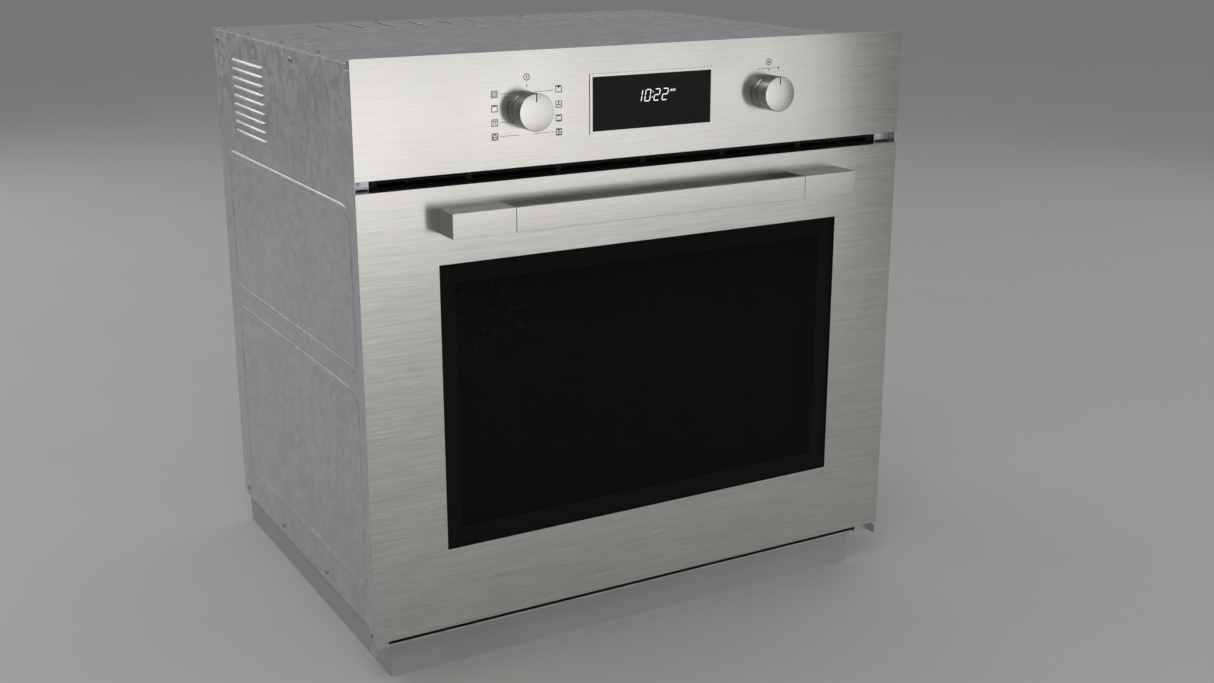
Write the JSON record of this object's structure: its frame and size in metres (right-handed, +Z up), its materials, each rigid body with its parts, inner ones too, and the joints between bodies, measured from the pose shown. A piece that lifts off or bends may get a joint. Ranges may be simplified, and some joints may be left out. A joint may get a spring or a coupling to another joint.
{
  "type": "built-in wall oven",
  "caption": "Built-in electric wall oven: steel control panel with knobs and clock, drop-down glazed door with a square bar handle, enamelled cavity with shelf, tray, fan, lamp and heaters.",
  "frame": {"origin": "middle of the underside of the base plate, midway between the side panels, 324 mm behind the door's front face", "axes": "+Z up; the door and control panel face -Y; +X is to the right when facing the oven"},
  "size_m": [0.756, 0.6654, 0.7069],
  "materials": {
    "galvanised_steel": "zinc-coated sheet with a faint spangle",
    "dark_enamel": "glossy dark enamel with fine pale specks",
    "mineral_wool": "matt fibre blanket",
    "gasket": "matt heat-proof braid",
    "heater_steel": "dull oxidised sheath",
    "bare_steel": "plain pressed steel",
    "chromed_wire": "bright wire",
    "ceramic": "unglazed white ceramic",
    "clear_glass": "clear polished glass",
    "black_glass": "black printed glass, glossy",
    "brushed_steel": "fine horizontal brushing, satin",
    "knob_steel": "satin turned steel",
    "black_plastic": "fine matt texture",
    "white_plastic": "moulded, semi-matt",
    "circuit_board": "green varnished board",
    "aluminium": "plain pressed aluminium"
  },
  "bodies": {
    "root": {"base_plate": "galvanised_steel", "left_side_panel": "galvanised_steel", "right_side_panel": "galvanised_steel", "top_cover": "galvanised_steel", "rear_cover": "galvanised_steel", "front_frame": "dark_enamel", "oven_cavity": "dark_enamel", "insulation_wrap": "mineral_wool", "insulation_rear_pad": "mineral_wool", "door_gasket": "gasket", "fan_baffle": "dark_enamel", "convection_motor": "bare_steel", "ring_element": "heater_steel", "grill_element": "heater_steel", "base_element": "heater_steel", "lamp_housing": "ceramic", "lamp_bulb": "clear_glass", "lamp_lens": "clear_glass", "left_shelf_rail": "chromed_wire", "right_shelf_rail": "chromed_wire", "temperature_probe": "bare_steel", "cooling_blower_housing": "galvanised_steel", "cooling_blower_motor": "bare_steel", "air_duct": "galvanised_steel", "vent_grille": "black_plastic", "control_panel": "brushed_steel", "display_bezel": "knob_steel", "display_glass": "black_glass", "display_module": "circuit_board", "control_bracket": "galvanised_steel", "left_knob_collar": "knob_steel", "right_knob_collar": "knob_steel", "function_switch": "black_plastic", "setting_encoder": "black_plastic", "power_board": "circuit_board", "terminal_block": "white_plastic", "cable_clamp": "black_plastic", "safety_thermostat": "white_plastic", "left_hinge_arm": "bare_steel", "right_hinge_arm": "bare_steel"},
    "door": {"door_panel": "brushed_steel", "door_outer_glass": "black_glass", "door_middle_glass": "clear_glass", "door_inner_glass": "clear_glass", "door_frame": "black_plastic", "handle_bar": "brushed_steel", "handle_left_block": "brushed_steel", "handle_right_block": "brushed_steel", "left_hinge_channel": "bare_steel", "right_hinge_channel": "bare_steel", "left_hinge_pin": "bare_steel", "right_hinge_pin": "bare_steel"},
    "convection_fan": {"convection_fan": "aluminium"},
    "cooling_blower": {"cooling_blower_wheel": "aluminium"},
    "shelf": {"wire_shelf": "chromed_wire"},
    "tray": {"baking_tray": "dark_enamel"},
    "function_knob": {"function_knob": "knob_steel", "function_knob_shaft": "bare_steel"},
    "setting_push": {"setting_plunger": "bare_steel"},
    "setting_knob": {"setting_knob": "knob_steel"}
  },
  "joints": [
    {"name": "door_hinge", "type": "hinge", "parent": "root", "child": "door", "pos_m": [0, -0.315, 0.024], "axis": [1, 0, 0], "range_deg": [0, 90], "stiffness_Nm_per_rad": 8, "springref_deg": -28.65},
    {"name": "wire_shelf_slide", "type": "slide", "parent": "root", "child": "shelf", "axis": [0, -1, 0], "range_m": [0, 0.3005]},
    {"name": "baking_tray_slide", "type": "slide", "parent": "root", "child": "tray", "axis": [0, -1, 0], "range_m": [0, 0.158]},
    {"name": "convection_fan_spin", "type": "hinge", "parent": "root", "child": "convection_fan", "pos_m": [0, 0.15, 0.27], "axis": [0, 1, 0], "continuous": true},
    {"name": "cooling_blower_spin", "type": "hinge", "parent": "root", "child": "cooling_blower", "pos_m": [0, 0.1, 0.588], "axis": [1, 0, 0], "continuous": true},
    {"name": "function_knob_turn", "type": "hinge", "parent": "root", "child": "function_knob", "pos_m": [-0.1677, -0.34, 0.6392], "axis": [0, -1, 0], "continuous": true},
    {"name": "setting_knob_push", "type": "slide", "parent": "root", "child": "setting_push", "axis": [0, 1, 0], "range_m": [0, 0.001], "stiffness_N_per_m": 2000, "springref_m": -0.001},
    {"name": "setting_knob_turn", "type": "hinge", "parent": "setting_push", "child": "setting_knob", "pos_m": [0.1677, -0.34, 0.6392], "axis": [0, -1, 0], "range_deg": [-25, 25], "stiffness_Nm_per_rad": 0.05}
  ],
  "couplings": [
    {"joint": "wire_shelf_slide", "follows": "door_hinge", "m_per_rad": 0.19099},
    {"joint": "baking_tray_slide", "follows": "door_hinge", "m_per_rad": 0.1}
  ]
}
